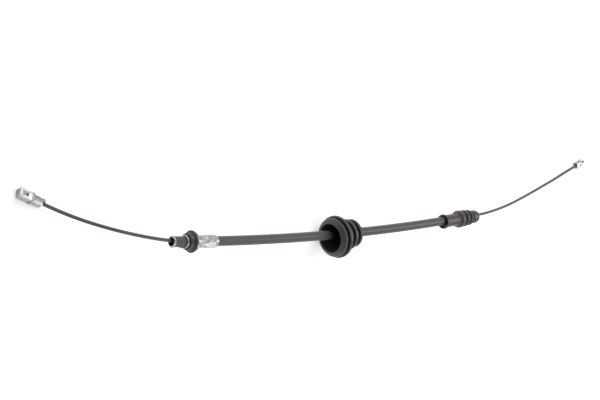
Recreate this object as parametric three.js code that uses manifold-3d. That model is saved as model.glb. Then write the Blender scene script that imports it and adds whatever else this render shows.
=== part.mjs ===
// Parking brake cable, lying on a floor. Millimetres, +Z up.
// The outer casing follows one flat arc. Stations are lengths along that arc from the place where it
// runs parallel to X: the wheel end is at negative stations, the lever end at positive ones.
import * as THREE from 'three';
import { mergeVertices } from 'three/addons/utils/BufferGeometryUtils.js';
import Module from 'manifold-3d';

const wasm = await Module();
wasm.setup();

// Outer casing: jacket over a flat-wire coil over a slippery liner
const CASING_ARC_R = 3167;
const JACKET_OD = 9.0;
const JACKET_WALL = 0.8;
const ARMOUR_WALL = 0.8;
const LINER_WALL = 0.4;
const LAYER_GAP = 0.15;
const JACKET_R = JACKET_OD / 2;
const ARMOUR_R = JACKET_R - JACKET_WALL - LAYER_GAP;
const LINER_R = ARMOUR_R - ARMOUR_WALL - LAYER_GAP;
const LINER_BORE_R = LINER_R - LINER_WALL;

// Inner cable: steel strand in a plastic coat
const COAT_OD = 3.1;
const COAT_WALL = 0.45;
const STRAND_GAP = 0.12;
const COAT_R = COAT_OD / 2;
const STRAND_R = COAT_R - COAT_WALL - STRAND_GAP;
const SEAT_GAP = 0.3;
const CUT_PAST = 2.0;
const CASING_FIT = 0.25;

// Ferrule and spigot at the wheel end
const SPIGOT_MOUTH_AT = -191.5;
const SPIGOT_LIP_R = 5.3;
const SPIGOT_LIP_LENGTH = 1.2;
const SPIGOT_GROOVE_R = 4.4;
const SPIGOT_BORE_R = 3.8;
const SPIGOT_CHAMFER = 0.5;
const BAND_R = 4.75;
const SNAP_RING_LENGTH = 2.2;
const SNAP_RING_R = 5.95;
const FINGER_LENGTH = 4.2;
const FINGER_WIDTH = 3.6;
const FINGER_HEIGHT = 0.75;
const SEAL_STEP_LENGTH = 4.4;
const SEAL_STEP_R = 7.45;
const SEAL_DISC_LENGTH = 1.8;
const SEAL_DISC_R = 9.9;
const SEAL_FRONT_AT = -175.4;
const FLANGE_LENGTH = 2.5;
const FLANGE_R = 8.7;
const BODY_LENGTH = 11.0;
const BODY_R = 5.8;
const HEX_LENGTH = 10.3;
const HEX_ACROSS_FLATS = 11.6;
const HEX_ACROSS_CORNERS_R = 6.55;
const NECK_LENGTH = 2.9;
const NECK_R = 5.5;
const FERRULE_SEAT_DEPTH = 5.0;

// Boot, swung a little to one side about its tail
const BOOT_MOUTH_AT = 1.2;
const BOOT_YAW = THREE.MathUtils.degToRad(5.5);
const BOOT_MOUTH_R = 13.9;
const BOOT_CAVITY_R = 12.4;
const BOOT_CAVITY_DEPTH = 29.0;
const BOOT_LIP_R = 18.9;
const BOOT_LIP_DEPTH = 3.6;
const BOOT_LIP_RIM = 2.0;
const BOOT_GROOVE_R = 16.8;
const BOOT_GROOVE_WIDTH = 2.1;
const BOOT_FLANGE_R = 20.5;
const BOOT_FLANGE_WIDTH = 3.5;
const BOOT_DRUM_R = 14.6;
const BOOT_DRUM_WIDTH = 9.6;
const BOOT_RIDGE_R = 15.0;
const BOOT_RIDGE_WIDTH = 3.6;
const BOOT_RIDGE_GROOVE = 4.4;
const BOOT_RIDGE_GROOVE_DEPTH = 2.6;
const BOOT_RIDGE_SIDE = 1.6;
const BOOT_EDGE = 0.4;
const BOOT_TAIL_RIDGE_R = 13.8;
const BOOT_TAIL_RIDGE_WIDTH = 3.6;
const BOOT_TAIL_R = 5.9;
const BOOT_TAIL_LENGTH = 9.6;
const BOOT_BORE_CLEARANCE = 0.3;
const BOOT_HUB_OVERLAP = 1.0;

// Moulded sleeve at the lever end
const SLEEVE_COLLAR_AT = 170.6;
const SLEEVE_DROP = 0.8;
const SLEEVE_COLLAR_LENGTH = 2.0;
const SLEEVE_COLLAR_R = 7.6;
const SLEEVE_COLLAR_BORE_R = 6.0;
const SLEEVE_COLLAR_DEPTH = 3.0;
const SLEEVE_LENGTH = 20.4;
const SLEEVE_R = 6.6;
const SLEEVE_RING_R = 9.15;
const SLEEVE_RING_LENGTH = 5.6;
const SLEEVE_RIB_R = 8.8;
const SLEEVE_RIB_LENGTH = 4.4;
const SLEEVE_RIB_2_R = 8.3;
const SLEEVE_RIB_2_LENGTH = 4.0;
const SLEEVE_GAP = 3.0;
const SLEEVE_GAP_R = 5.9;
const NOSE_LENGTH = 9.6;
const NOSE_R = 7.0;
const NOSE_TIP_R = 6.2;
const NOSE_TAPER = 3.0;
const NOSE_BORE_R = 2.6;
const WINDOW_WIDTH = 2.6;
const WINDOW_LENGTH = 4.6;
const WINDOW_DEPTH = 0.8;
const WINDOW_TO_RING = 1.2;
const SLEEVE_SEAT_DEPTH = 20;

// End block at the wheel end, which hooks over the brake's lever
const BLOCK_LENGTH = 22.5;
const BLOCK_WIDTH = 7.4;
const BLOCK_THICKNESS = 6.4;
const BLOCK_HEAD_LENGTH = 11.5;
const BLOCK_RIDGE_LENGTH = 1.8;
const BLOCK_RIDGE_HEIGHT = 0.55;
const BLOCK_SHANK_SETBACK = 0.9;
const BLOCK_DIMPLE_R = 1.35;
const BLOCK_DIMPLE_DEPTH = 1.0;
const BLOCK_EAR_LENGTH = 3.0;
const BLOCK_EAR_WIDTH = 2.4;
const BLOCK_EAR_HEIGHT = 2.0;
const BLOCK_EAR_SEAT = 0.6;
const BLOCK_ROLL = THREE.MathUtils.degToRad(20);

// End fitting at the lever end: a swaged barrel and a flat eye
const FITTING_BARREL_LENGTH = 9.5;
const FITTING_BARREL_WIDTH = 6.4;
const FITTING_BARREL_THICKNESS = 5.6;
const FITTING_EYE_LENGTH = 9.0;
const FITTING_EYE_WIDTH = 6.8;
const FITTING_EYE_THICKNESS = 2.6;
const FITTING_HOLE_R = 1.5;
const FITTING_CORNER_R = 1.3;
const FITTING_DIMPLE_R = 1.1;
const FITTING_DIMPLE_DEPTH = 0.8;
const FITTING_LIP_WIDTH = 7.2;
const FITTING_LIP_LENGTH = 1.4;

const COAT_TO_END = 2.6;
const STRAND_SEAT = 6.0;
const AXIS_HEIGHT = BOOT_FLANGE_R;
const BLOCK_HEIGHT = (BLOCK_THICKNESS * Math.cos(BLOCK_ROLL) + BLOCK_WIDTH * Math.sin(BLOCK_ROLL)) / 2;
const FITTING_HEIGHT = FITTING_BARREL_THICKNESS / 2;

// Free stretches of the inner cable, chosen by hand: x, sideways place, share of the drop to the floor
const WHEEL_END_ROUTE = [
  [-306.6, 42.6, 1.0],
  [-300.0, 39.6, 0.99],
  [-286.0, 33.5, 0.9],
  [-270.0, 27.1, 0.7],
  [-254.0, 21.5, 0.47],
  [-238.0, 16.6, 0.25],
  [-222.0, 12.5, 0.1],
  [-207.0, 9.3, 0.02],
  [-194.0, 7.1, 0],
  [-182.0, 5.62, 0],
];
const LEVER_END_ROUTE = [
  [226.0, 8.05, 0],
  [240.0, 9.0, 0],
  [256.0, 11.0, 0.02],
  [275.0, 13.8, 0.11],
  [296.0, 17.4, 0.27],
  [318.0, 21.7, 0.48],
  [342.0, 26.8, 0.7],
  [368.0, 33.0, 0.88],
  [394.0, 40.2, 0.97],
  [418.0, 47.8, 1.0],
  [441.7, 55.5, 1.0],
];
const ARC_POINTS = [-170, -130, -90, -45, 0, 45, 90, 130, 170, 205];

const TURN_SIDES = 32;
const TUBE_SIDES = 24;
const CORD_SIDES = 8;
const CORD_STEPS = 66;
const CASING_STEPS = 14;

// The casing's axis
function arcPoint(station) {
  const angle = station / CASING_ARC_R;
  return new THREE.Vector3(
    CASING_ARC_R * Math.sin(angle),
    CASING_ARC_R * (1 - Math.cos(angle)),
    AXIS_HEIGHT,
  );
}

class CasingCurve extends THREE.Curve {
  constructor(from, to) {
    super();
    this.from = from;
    this.to = to;
  }

  getPoint(t) {
    return arcPoint(this.from + (this.to - this.from) * t);
  }
}

function routePoints(route, endHeight) {
  return route.map(([x, y, drop]) => new THREE.Vector3(x, y, AXIS_HEIGHT + (endHeight - AXIS_HEIGHT) * drop));
}

const wheelPoints = routePoints(WHEEL_END_ROUTE, BLOCK_HEIGHT);
const leverPoints = routePoints(LEVER_END_ROUTE, FITTING_HEIGHT);

function outward(points) {
  const [last, before] = points;
  return last.clone().sub(before).setZ(0).normalize();
}

const wheelDirection = outward(wheelPoints);
const leverDirection = outward([...leverPoints].reverse());
const coatStart = wheelPoints[0];
const coatEnd = leverPoints[leverPoints.length - 1];
const blockFace = coatStart.clone().addScaledVector(wheelDirection, COAT_TO_END);
const fittingFace = coatEnd.clone().addScaledVector(leverDirection, COAT_TO_END);
const strandStart = blockFace.clone().addScaledVector(wheelDirection, STRAND_SEAT);
const strandEnd = fittingFace.clone().addScaledVector(leverDirection, STRAND_SEAT);
const cablePoints = [...wheelPoints, ...ARC_POINTS.map(arcPoint), ...leverPoints];
const coatCurve = new THREE.CatmullRomCurve3(cablePoints, false, 'centripetal');
const strandCurve = new THREE.CatmullRomCurve3(
  [strandStart, ...cablePoints, strandEnd],
  false,
  'centripetal',
);

// Solids
function toSolid(geometry) {
  const bare = geometry.index ? geometry.toNonIndexed() : geometry.clone();
  bare.deleteAttribute('normal');
  bare.deleteAttribute('uv');
  const merged = mergeVertices(bare, 1e-4);
  return new wasm.Manifold(
    new wasm.Mesh({
      numProp: 3,
      vertProperties: new Float32Array(merged.attributes.position.array),
      triVerts: new Uint32Array(merged.index.array),
    }),
  );
}

function toGeometry(solid) {
  const mesh = solid.getMesh();
  const geometry = new THREE.BufferGeometry();
  geometry.setAttribute('position', new THREE.BufferAttribute(new Float32Array(mesh.vertProperties), 3));
  geometry.setIndex(new THREE.BufferAttribute(new Uint32Array(mesh.triVerts), 1));
  const faceted = geometry.toNonIndexed();
  faceted.computeVertexNormals();
  return faceted;
}

// A ring or shaft turned about X from [x, radius] points
function turned(profile, sides = TURN_SIDES) {
  const points = profile.map(([x, r]) => new THREE.Vector2(r, x));
  points.push(points[0].clone());
  return new THREE.LatheGeometry(points, sides).rotateZ(-Math.PI / 2);
}

function roundOutline(r, sides) {
  const points = [];
  for (let i = 0; i < sides; i++) {
    const angle = (2 * Math.PI * i) / sides;
    points.push(new THREE.Vector2(r * Math.cos(angle), r * Math.sin(angle)));
  }
  return points;
}

function tube(curve, r, boreR, sides, steps) {
  const section = new THREE.Shape(roundOutline(r, sides));
  if (boreR > 0) {
    section.holes.push(new THREE.Path(roundOutline(boreR, sides)));
  }
  return new THREE.ExtrudeGeometry(section, { steps, bevelEnabled: false, extrudePath: curve });
}

function bar(length, width, height, x, y = 0, z = 0) {
  return new THREE.BoxGeometry(length, width, height).translate(x + length / 2, y, z);
}

const group = new THREE.Group();
const FINISHES = {
  zinc: new THREE.MeshStandardMaterial({ color: 0xc9cac4, roughness: 0.32, metalness: 0.9 }),
  steel: new THREE.MeshStandardMaterial({ color: 0x9a9a9a, roughness: 0.4, metalness: 0.9 }),
  jacket: new THREE.MeshStandardMaterial({ color: 0x3f3a3b, roughness: 0.5, metalness: 0 }),
  coat: new THREE.MeshStandardMaterial({ color: 0x443f3d, roughness: 0.45, metalness: 0 }),
  rubber: new THREE.MeshStandardMaterial({ color: 0x343436, roughness: 0.7, metalness: 0 }),
  plastic: new THREE.MeshStandardMaterial({ color: 0x3a3637, roughness: 0.45, metalness: 0 }),
  liner: new THREE.MeshStandardMaterial({ color: 0xe4e2d8, roughness: 0.5, metalness: 0 }),
};

function add(name, geometry, finish) {
  const mesh = new THREE.Mesh(geometry, FINISHES[finish]);
  mesh.name = name;
  group.add(mesh);
  return mesh;
}

// Sets a piece turned about X onto the casing's axis at a station
function onCasing(mesh, station) {
  const angle = station / CASING_ARC_R;
  mesh.position.copy(arcPoint(station));
  mesh.rotation.z = angle;
}

// Sets a piece that runs along its own +X onto an end of the inner cable
function onEnd(mesh, at, direction, roll) {
  mesh.position.copy(at);
  mesh.rotation.order = 'ZYX';
  mesh.rotation.z = Math.atan2(direction.y, direction.x);
  mesh.rotation.x = roll;
}

// Wheel end: seal, flange and crimp, measured back from the seal's front
const sealDiscAt = SEAL_FRONT_AT + SEAL_STEP_LENGTH;
const flangeAt = sealDiscAt + SEAL_DISC_LENGTH + SEAT_GAP;
const bodyAt = flangeAt + FLANGE_LENGTH;
const hexAt = bodyAt + BODY_LENGTH;
const neckAt = hexAt + HEX_LENGTH;
const ferruleEnd = neckAt + NECK_LENGTH;
const casingStart = bodyAt + FERRULE_SEAT_DEPTH;
const snapRingAt = SEAL_FRONT_AT - SEAT_GAP - SNAP_RING_LENGTH;
const bandAt = SPIGOT_MOUTH_AT + SPIGOT_LIP_LENGTH;

function spigotTube() {
  const end = flangeAt - SPIGOT_MOUTH_AT - SEAT_GAP;
  return turned([
    [0, SPIGOT_BORE_R + 0.1],
    [0, SPIGOT_LIP_R - SPIGOT_CHAMFER],
    [SPIGOT_CHAMFER, SPIGOT_LIP_R],
    [SPIGOT_LIP_LENGTH, SPIGOT_LIP_R],
    [SPIGOT_LIP_LENGTH, SPIGOT_GROOVE_R],
    [end, SPIGOT_GROOVE_R],
    [end, SPIGOT_BORE_R],
    [0.3, SPIGOT_BORE_R],
  ]);
}

function band() {
  const start = bandAt + SEAT_GAP;
  const length = snapRingAt - SEAT_GAP - start;
  const bore = SPIGOT_GROOVE_R + LAYER_GAP;
  return { start, geometry: turned([[0, bore], [0, BAND_R], [length, BAND_R], [length, bore]]) };
}

// A spring ring whose one finger reaches forward over the band
function snapRing() {
  const bore = SPIGOT_GROOVE_R + LAYER_GAP;
  const ring = toSolid(
    turned([
      [0, bore],
      [0, SNAP_RING_R - 0.6],
      [0.5, SNAP_RING_R],
      [SNAP_RING_LENGTH, SNAP_RING_R],
      [SNAP_RING_LENGTH, bore],
    ]),
  );
  const reach = BAND_R + LAYER_GAP;
  const finger = toSolid(
    bar(FINGER_LENGTH + 1, FINGER_HEIGHT, FINGER_WIDTH, -FINGER_LENGTH, -(reach + FINGER_HEIGHT / 2)),
  );
  const clear = toSolid(
    turned([[-FINGER_LENGTH - 2, 0], [-FINGER_LENGTH - 2, reach], [0, reach], [0, 0]], 48),
  );
  return toGeometry(ring.add(finger.subtract(clear)));
}

function sealRing() {
  const bore = SPIGOT_GROOVE_R + LAYER_GAP;
  const disc = SEAL_STEP_LENGTH;
  const end = disc + SEAL_DISC_LENGTH;
  return turned([
    [0, bore],
    [0, SEAL_STEP_R - 0.5],
    [0.5, SEAL_STEP_R],
    [disc - 0.6, SEAL_STEP_R + 0.2],
    [disc, SEAL_DISC_R - 0.4],
    [disc + 0.5, SEAL_DISC_R],
    [end - 0.3, SEAL_DISC_R],
    [end, SEAL_DISC_R - 0.3],
    [end, bore],
  ]);
}

// Flange, body, hexagonal crimp and neck, bored for the casing from behind
function ferrule() {
  const body = BODY_LENGTH + FLANGE_LENGTH;
  const hexEnd = body + HEX_LENGTH;
  const end = hexEnd + NECK_LENGTH;
  const seat = FLANGE_LENGTH + FERRULE_SEAT_DEPTH;
  const casingBore = JACKET_R + CASING_FIT;
  const blank = toSolid(
    turned([
      [0, LINER_R + LAYER_GAP + 1],
      [0, FLANGE_R - 0.3],
      [0.3, FLANGE_R],
      [FLANGE_LENGTH - 0.3, FLANGE_R],
      [FLANGE_LENGTH, FLANGE_R - 0.3],
      [FLANGE_LENGTH, BODY_R + 0.4],
      [FLANGE_LENGTH + 0.4, BODY_R],
      [body, BODY_R],
      [body + 0.7, HEX_ACROSS_CORNERS_R],
      [hexEnd - 0.7, HEX_ACROSS_CORNERS_R],
      [hexEnd, NECK_R],
      [end - 0.5, NECK_R],
      [end, NECK_R - 0.3],
      [end, casingBore],
      [seat, casingBore],
      [seat, LINER_R + LAYER_GAP + 1],
    ]),
  );
  const flats = new THREE.CylinderGeometry(
    HEX_ACROSS_FLATS / Math.sqrt(3),
    HEX_ACROSS_FLATS / Math.sqrt(3),
    HEX_LENGTH,
    6,
  );
  flats.rotateZ(Math.PI / 2).translate(body + HEX_LENGTH / 2, 0, 0);
  const sleeve = toSolid(
    turned([[body, 0], [body, HEX_ACROSS_CORNERS_R + 2], [hexEnd, HEX_ACROSS_CORNERS_R + 2], [hexEnd, 0]]),
  );
  return toGeometry(blank.subtract(sleeve.subtract(toSolid(flats))));
}

// Stations of the boot's steps, back from its mouth
const bootLip = BOOT_LIP_DEPTH + BOOT_LIP_RIM;
const bootFlange = bootLip + BOOT_GROOVE_WIDTH;
const bootDrum = bootFlange + BOOT_FLANGE_WIDTH;
const bootRidge = bootDrum + BOOT_DRUM_WIDTH;
const bootRidgeEnd = bootRidge + BOOT_RIDGE_WIDTH;
const bootTailRidge = bootRidgeEnd + BOOT_RIDGE_GROOVE;
const bootTail = bootTailRidge + BOOT_TAIL_RIDGE_WIDTH;

// The profile runs back from the mouth and returns through the cavity. The shell swings about its
// tail, while the hub and its bore stay on the casing; the origin is where the two meet.
function boot() {
  const grooveR = BOOT_RIDGE_R - BOOT_RIDGE_GROOVE_DEPTH;
  const tailGrooveR = BOOT_TAIL_RIDGE_R - BOOT_RIDGE_GROOVE_DEPTH;
  const bore = JACKET_R + BOOT_BORE_CLEARANCE;
  const outline = turned([
    [0, BOOT_MOUTH_R],
    [0.2, BOOT_MOUTH_R + 0.8],
    [BOOT_LIP_DEPTH * 0.62, BOOT_MOUTH_R + (BOOT_LIP_R - BOOT_MOUTH_R) * 0.74],
    [BOOT_LIP_DEPTH, BOOT_LIP_R],
    [bootLip, BOOT_LIP_R],
    [bootLip, BOOT_GROOVE_R],
    [bootFlange, BOOT_GROOVE_R],
    [bootFlange, BOOT_FLANGE_R - BOOT_EDGE],
    [bootFlange + BOOT_EDGE, BOOT_FLANGE_R],
    [bootDrum - BOOT_EDGE, BOOT_FLANGE_R],
    [bootDrum, BOOT_FLANGE_R - BOOT_EDGE],
    [bootDrum, BOOT_DRUM_R],
    [bootRidge - 2 * BOOT_RIDGE_SIDE, BOOT_DRUM_R],
    [bootRidge - BOOT_RIDGE_SIDE, grooveR],
    [bootRidge, grooveR],
    [bootRidge + BOOT_EDGE, BOOT_RIDGE_R],
    [bootRidgeEnd - BOOT_EDGE, BOOT_RIDGE_R],
    [bootRidgeEnd, BOOT_RIDGE_R - BOOT_EDGE],
    [bootRidgeEnd + BOOT_RIDGE_SIDE, tailGrooveR],
    [bootTailRidge, tailGrooveR],
    [bootTailRidge + BOOT_EDGE, BOOT_TAIL_RIDGE_R],
    [bootTail - 3 * BOOT_EDGE, BOOT_TAIL_RIDGE_R],
    [bootTail, BOOT_TAIL_RIDGE_R - 3 * BOOT_EDGE],
    [bootTail, 0],
    [BOOT_CAVITY_DEPTH, 0],
    [BOOT_CAVITY_DEPTH, BOOT_CAVITY_R * 0.68],
    [BOOT_CAVITY_DEPTH * 0.84, BOOT_CAVITY_R * 0.77],
    [BOOT_CAVITY_DEPTH * 0.62, BOOT_CAVITY_R * 0.86],
    [BOOT_CAVITY_DEPTH * 0.3, BOOT_CAVITY_R],
    [BOOT_CAVITY_DEPTH * 0.05, BOOT_MOUTH_R - BOOT_EDGE],
  ]);
  const shell = toSolid(outline.translate(-bootTail, 0, 0).rotateZ(BOOT_YAW));
  const hub = toSolid(
    turned([
      [-BOOT_HUB_OVERLAP, 0],
      [-BOOT_HUB_OVERLAP, BOOT_TAIL_R],
      [BOOT_TAIL_LENGTH - 2 * BOOT_EDGE, BOOT_TAIL_R],
      [BOOT_TAIL_LENGTH, BOOT_TAIL_R - 2 * BOOT_EDGE],
      [BOOT_TAIL_LENGTH, 0],
    ]),
  );
  const holeFrom = BOOT_CAVITY_DEPTH - bootTail - CUT_PAST;
  const holeTo = BOOT_TAIL_LENGTH + CUT_PAST;
  const hole = toSolid(turned([[holeFrom, 0], [holeFrom, bore], [holeTo, bore], [holeTo, 0]], TUBE_SIDES));
  return toGeometry(shell.add(hub).subtract(hole));
}

// Moulded end sleeve: open collar, barrel with clip windows, three rings and a nose. It hangs a
// little below the casing, whose seat and cable hole keep to the casing's axis.
function endSleeve() {
  const ring = SLEEVE_COLLAR_LENGTH + SLEEVE_LENGTH;
  const ringEnd = ring + SLEEVE_RING_LENGTH;
  const rib = ringEnd + SLEEVE_GAP;
  const ribEnd = rib + SLEEVE_RIB_LENGTH;
  const rib2 = ribEnd + SLEEVE_GAP;
  const rib2End = rib2 + SLEEVE_RIB_2_LENGTH;
  const nose = rib2End + SLEEVE_GAP;
  const end = nose + NOSE_LENGTH;
  const bore = JACKET_R + CASING_FIT;
  const seat = SLEEVE_COLLAR_LENGTH + SLEEVE_SEAT_DEPTH;
  const outline = turned([
    [0, 0],
    [0, SLEEVE_COLLAR_R],
    [SLEEVE_COLLAR_LENGTH, SLEEVE_COLLAR_R],
    [SLEEVE_COLLAR_LENGTH, SLEEVE_R],
    [ring, SLEEVE_R],
    [ring + 0.4 * SLEEVE_RING_LENGTH, SLEEVE_RING_R],
    [ringEnd, SLEEVE_RING_R],
    [ringEnd, SLEEVE_GAP_R],
    [rib, SLEEVE_GAP_R],
    [rib + 0.4 * SLEEVE_RIB_LENGTH, SLEEVE_RIB_R],
    [ribEnd, SLEEVE_RIB_R],
    [ribEnd, SLEEVE_GAP_R],
    [rib2, SLEEVE_GAP_R],
    [rib2 + 0.4 * SLEEVE_RIB_2_LENGTH, SLEEVE_RIB_2_R],
    [rib2End, SLEEVE_RIB_2_R],
    [rib2End, SLEEVE_GAP_R],
    [nose, SLEEVE_GAP_R],
    [nose, NOSE_R - 0.5],
    [nose + 0.5, NOSE_R],
    [end - NOSE_TAPER, NOSE_R],
    [end, NOSE_TIP_R],
    [end, 0],
  ]);
  const collar = turned([
    [-CUT_PAST, 0],
    [-CUT_PAST, SLEEVE_COLLAR_BORE_R],
    [SLEEVE_COLLAR_DEPTH, SLEEVE_COLLAR_BORE_R],
    [SLEEVE_COLLAR_DEPTH, 0],
  ]);
  const seatHole = turned([
    [0, 0],
    [0, bore],
    [seat, bore],
    [seat, NOSE_BORE_R],
    [end + CUT_PAST, NOSE_BORE_R],
    [end + CUT_PAST, 0],
  ]);
  let cut = toSolid(outline.translate(0, -SLEEVE_DROP, 0))
    .subtract(toSolid(collar.translate(0, -SLEEVE_DROP, 0)))
    .subtract(toSolid(seatHole));
  const windowAt = ring - WINDOW_LENGTH - WINDOW_TO_RING;
  for (const side of [1, -1]) {
    const aside = side * SLEEVE_R - SLEEVE_DROP;
    const window = bar(WINDOW_LENGTH, 2 * WINDOW_DEPTH, WINDOW_WIDTH, windowAt, aside);
    cut = cut.subtract(toSolid(window));
  }
  return toGeometry(cut);
}

// Block with a stepped head, a ridge and a narrower shank; its own +X runs away from the cable
function endBlock() {
  const headAt = BLOCK_LENGTH - BLOCK_HEAD_LENGTH;
  const ridgeAt = headAt - BLOCK_RIDGE_LENGTH;
  const shankWidth = BLOCK_WIDTH - BLOCK_SHANK_SETBACK;
  const shankThickness = BLOCK_THICKNESS - BLOCK_SHANK_SETBACK;
  let solid = toSolid(bar(BLOCK_HEAD_LENGTH, BLOCK_WIDTH, BLOCK_THICKNESS, headAt));
  solid = solid.add(
    toSolid(
      bar(
        BLOCK_RIDGE_LENGTH + 0.1,
        BLOCK_WIDTH + BLOCK_RIDGE_HEIGHT,
        BLOCK_THICKNESS + BLOCK_RIDGE_HEIGHT,
        ridgeAt,
        BLOCK_RIDGE_HEIGHT / 2,
        BLOCK_RIDGE_HEIGHT / 2,
      ),
    ),
  );
  const setback = BLOCK_SHANK_SETBACK / 2;
  solid = solid.add(toSolid(bar(ridgeAt + 0.1, shankWidth, shankThickness, 0, 0, -setback)));
  const earAt = BLOCK_EAR_SEAT - BLOCK_EAR_LENGTH;
  const earAside = (BLOCK_EAR_WIDTH - shankWidth) / 2;
  const earUp = shankThickness / 2 - setback - BLOCK_EAR_HEIGHT / 2;
  const ear = bar(BLOCK_EAR_LENGTH, BLOCK_EAR_WIDTH, BLOCK_EAR_HEIGHT, earAt, earAside, earUp);
  solid = solid.add(toSolid(ear));
  const dimple = new THREE.CylinderGeometry(BLOCK_DIMPLE_R, BLOCK_DIMPLE_R * 0.6, 2 * BLOCK_DIMPLE_DEPTH, 20);
  dimple.rotateX(Math.PI / 2).translate(headAt + BLOCK_HEAD_LENGTH * 0.42, 0, BLOCK_THICKNESS / 2);
  solid = solid.subtract(toSolid(dimple));
  return toGeometry(solid.subtract(strandHole()));
}

function strandHole() {
  const r = STRAND_R + LAYER_GAP;
  const deep = STRAND_SEAT + SEAT_GAP;
  return toSolid(turned([[-CUT_PAST, 0], [-CUT_PAST, r], [deep, r], [deep, 0]], 16));
}

// Swaged barrel with a lip, running out into a flat eye; its own +X runs away from the cable
function endFitting() {
  const flatLength = FITTING_EYE_LENGTH - FITTING_EYE_WIDTH / 2;
  const eye = new THREE.Shape();
  const half = FITTING_EYE_WIDTH / 2;
  eye.moveTo(-2, -half);
  eye.lineTo(flatLength, -half);
  eye.absarc(flatLength, 0, half, -Math.PI / 2, Math.PI / 2, false);
  eye.lineTo(-2, half);
  eye.closePath();
  const hole = new THREE.Path();
  hole.absarc(flatLength, 0, FITTING_HOLE_R, 0, 2 * Math.PI, true);
  eye.holes.push(hole);
  const plate = new THREE.ExtrudeGeometry(eye, {
    depth: FITTING_EYE_THICKNESS,
    bevelEnabled: false,
    curveSegments: 14,
  });
  plate.translate(FITTING_BARREL_LENGTH, 0, -FITTING_EYE_THICKNESS / 2);
  const side = FITTING_BARREL_WIDTH / 2;
  const top = FITTING_BARREL_THICKNESS / 2;
  const corner = FITTING_CORNER_R;
  const section = new THREE.Shape();
  section.moveTo(-side + corner, -top);
  section.lineTo(side - corner, -top);
  section.absarc(side - corner, -top + corner, corner, -Math.PI / 2, 0, false);
  section.absarc(side - corner, top - corner, corner, 0, Math.PI / 2, false);
  section.absarc(-side + corner, top - corner, corner, Math.PI / 2, Math.PI, false);
  section.absarc(-side + corner, -top + corner, corner, Math.PI, 1.5 * Math.PI, false);
  const barrel = new THREE.ExtrudeGeometry(section, {
    depth: FITTING_BARREL_LENGTH,
    bevelEnabled: false,
    curveSegments: 4,
  });
  barrel.rotateX(Math.PI / 2).rotateZ(Math.PI / 2);
  const lip = bar(FITTING_LIP_LENGTH, FITTING_LIP_WIDTH, FITTING_BARREL_THICKNESS * 0.6, 0);
  const dimple = new THREE.CylinderGeometry(FITTING_DIMPLE_R, FITTING_DIMPLE_R, 2 * FITTING_DIMPLE_DEPTH, 16);
  dimple.rotateX(Math.PI / 2).translate(FITTING_BARREL_LENGTH * 0.72, -side * 0.45, top);
  return toGeometry(
    toSolid(barrel)
      .add(toSolid(plate))
      .add(toSolid(lip))
      .subtract(toSolid(dimple))
      .subtract(strandHole()),
  );
}

const sleeveSeat = SLEEVE_COLLAR_AT + SLEEVE_COLLAR_LENGTH + SLEEVE_SEAT_DEPTH - SEAT_GAP;
const casing = new CasingCurve(casingStart + SEAT_GAP, sleeveSeat);
add('jacket', tube(casing, JACKET_R, ARMOUR_R + LAYER_GAP, TUBE_SIDES, CASING_STEPS), 'jacket');
add('armour_coil', tube(casing, ARMOUR_R, LINER_R + LAYER_GAP, TUBE_SIDES, CASING_STEPS), 'steel');
add('liner', tube(casing, LINER_R, LINER_BORE_R, TUBE_SIDES, CASING_STEPS), 'liner');
add('cable_coat', tube(coatCurve, COAT_R, COAT_R - COAT_WALL, CORD_SIDES, CORD_STEPS), 'coat');
add('cable_strand', tube(strandCurve, STRAND_R, 0, CORD_SIDES, CORD_STEPS), 'steel');
onCasing(add('spigot_tube', spigotTube(), 'zinc'), SPIGOT_MOUTH_AT);
const spigotBand = band();
onCasing(add('spigot_band', spigotBand.geometry, 'plastic'), spigotBand.start);
onCasing(add('snap_ring', snapRing(), 'zinc'), snapRingAt);
onCasing(add('seal_ring', sealRing(), 'rubber'), SEAL_FRONT_AT);
onCasing(add('ferrule', ferrule(), 'zinc'), flangeAt);
onCasing(add('boot', boot(), 'rubber'), BOOT_MOUTH_AT + bootTail);
onCasing(add('end_sleeve', endSleeve(), 'plastic'), SLEEVE_COLLAR_AT);
onEnd(add('end_block', endBlock(), 'zinc'), blockFace, wheelDirection, BLOCK_ROLL);
onEnd(add('end_fitting', endFitting(), 'zinc'), fittingFace, leverDirection, 0);

// Origin below the middle of the part, on the floor
const bounds = new THREE.Box3().setFromObject(group, true);
const middle = bounds.getCenter(new THREE.Vector3());
group.position.set(-middle.x, -middle.y, -bounds.min.z);

export default group;
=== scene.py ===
# Looks of a parking brake cable that lies on a pale floor. Metres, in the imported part's own frame.
import math

import bpy
import bmesh
from bpy.props import FloatProperty, FloatVectorProperty, IntProperty, PointerProperty
from mathutils import Matrix, Vector


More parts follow.
